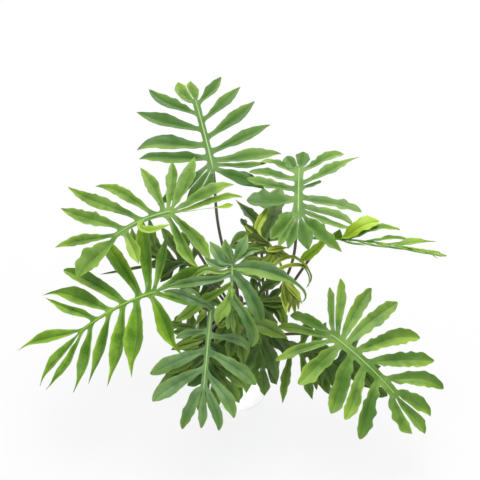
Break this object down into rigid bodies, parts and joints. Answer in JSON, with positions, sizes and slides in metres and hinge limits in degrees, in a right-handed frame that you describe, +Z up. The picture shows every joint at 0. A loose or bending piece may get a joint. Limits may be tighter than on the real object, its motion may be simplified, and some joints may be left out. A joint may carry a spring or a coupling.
{
  "type": "potted philodendron mayoi",
  "caption": "Bushy foliage plant with large leaves cut almost to the rib into long pointed lobes, standing on short stems in a plain round white pot of soil.",
  "frame": {"origin": "centre of the pot's underside, on the surface that it stands on", "axes": "+Z up, -Y towards the side that the plant is seen from, +X to the right from there"},
  "size_m": [0.5999, 0.4883, 0.3645],
  "materials": {
    "pot": "plain white, satin",
    "soil": "dark crumbly potting mix, matt",
    "stem": "brown green living stem, satin",
    "dry_sheath": "dry tan papery leaf sheath, matt",
    "leaf_mid_green": "living leaf, satin",
    "leaf_bright_green": "living leaf, satin",
    "leaf_blue_green": "living leaf, satin",
    "leaf_dark_green": "living leaf, satin",
    "leaf_olive": "young leaf, satin"
  },
  "bodies": {
    "root": {"pot": "pot", "soil": "soil", "stem_tall": "stem", "stem_right": "stem", "stem_front": "stem", "dry_sheath_tall": "dry_sheath", "dry_sheath_right": "dry_sheath", "dry_sheath_front": "dry_sheath", "leaf_back": "leaf_mid_green", "leaf_left_upper": "leaf_mid_green", "leaf_left_lower": "leaf_bright_green", "leaf_front": "leaf_blue_green", "leaf_right_upper": "leaf_mid_green", "leaf_centre": "leaf_blue_green", "leaf_right": "leaf_bright_green", "leaf_right_lower": "leaf_mid_green", "leaf_low_right": "leaf_dark_green", "leaf_low_front": "leaf_dark_green", "leaf_low_left": "leaf_dark_green", "leaf_young": "leaf_olive", "leaf_inner": "leaf_dark_green", "leaf_mid_left": "leaf_dark_green", "leaf_low_middle": "leaf_mid_green", "leaf_left_inner": "leaf_dark_green", "leaf_front_inner": "leaf_dark_green", "leaf_mid_right": "leaf_dark_green", "leaf_rolled": "leaf_olive"}
  },
  "joints": []
}
